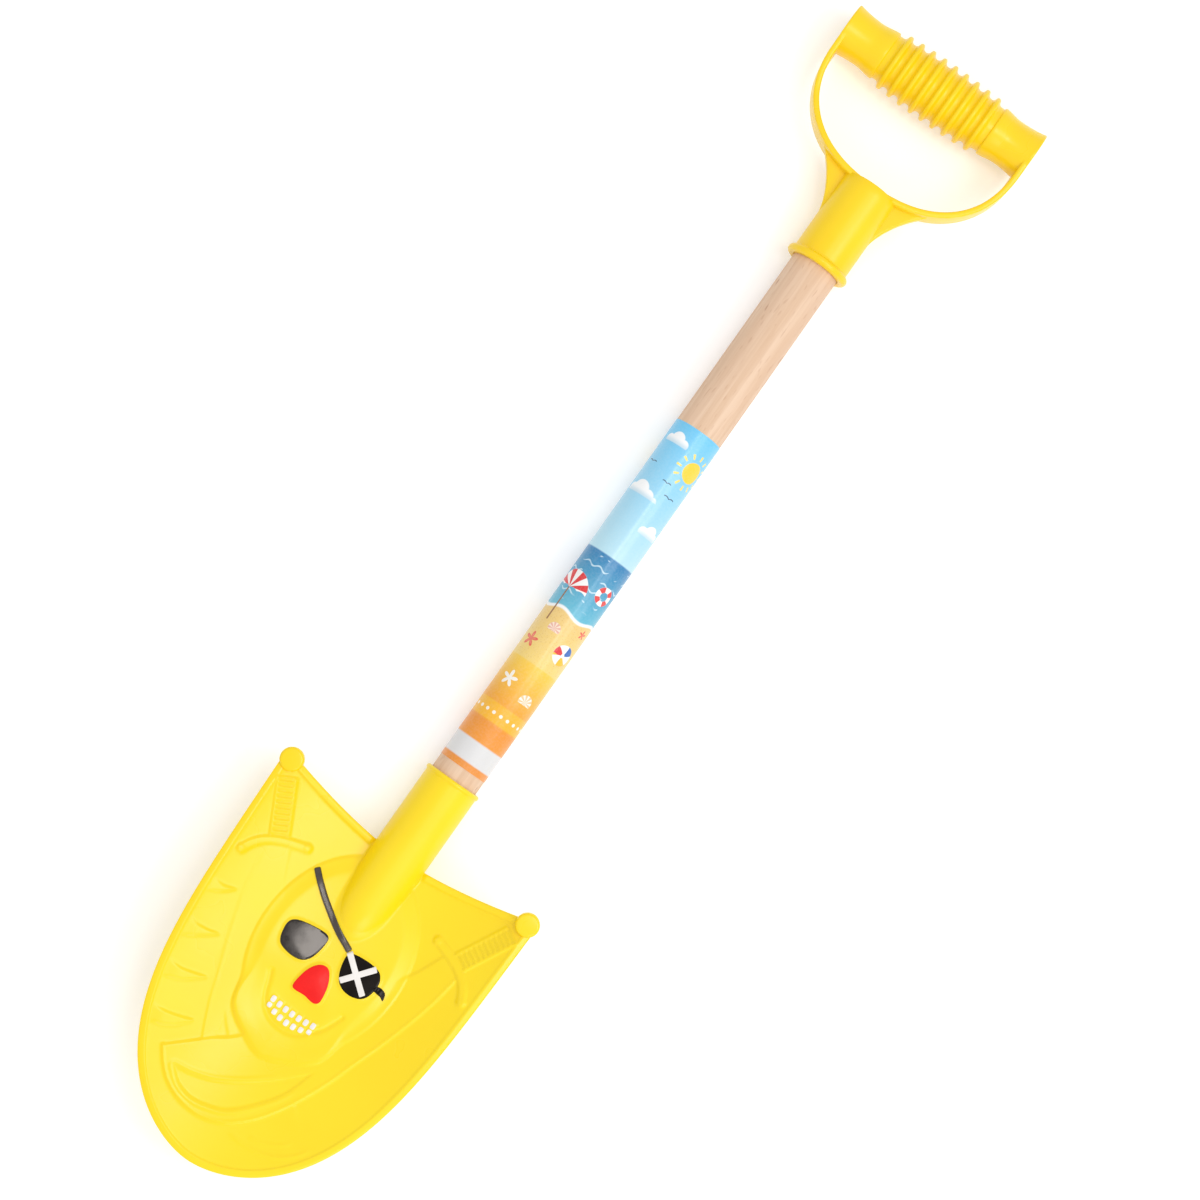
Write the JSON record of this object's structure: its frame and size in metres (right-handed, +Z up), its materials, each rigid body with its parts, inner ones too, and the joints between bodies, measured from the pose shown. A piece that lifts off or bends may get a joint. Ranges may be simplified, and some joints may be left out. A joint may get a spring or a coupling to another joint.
{
  "type": "sand shovel",
  "caption": "Toy sand shovel: a dished plastic blade with a moulded skull, a round wooden stick with a paper label and a D-shaped handle with a ribbed grip.",
  "frame": {"origin": "on the surface that the shovel lies on, under the middle of its box", "axes": "+X across the blade, +Y along the stick from the blade's tip to the grip, +Z up out of the blade's hollow face"},
  "size_m": [0.1422, 0.6136, 0.0458],
  "materials": {
    "blade_plastic": "satin moulded polypropylene",
    "handle_plastic": "satin moulded polypropylene",
    "beech": "sanded, uncoated",
    "label_paper": "printed, lightly coated",
    "nail_steel": "bright",
    "eye_black": "gloss print",
    "patch_black": "gloss print",
    "print_white": "gloss print",
    "nose_red": "gloss print"
  },
  "bodies": {
    "root": {"blade": "blade_plastic", "stick": "beech", "handle": "handle_plastic", "label": "label_paper", "blade_nail": "nail_steel", "handle_nail": "nail_steel", "eye_paint": "eye_black", "patch_paint": "patch_black", "cross_paint": "print_white", "strap_paint": "patch_black", "nose_paint": "nose_red", "teeth_paint": "print_white"}
  },
  "joints": []
}
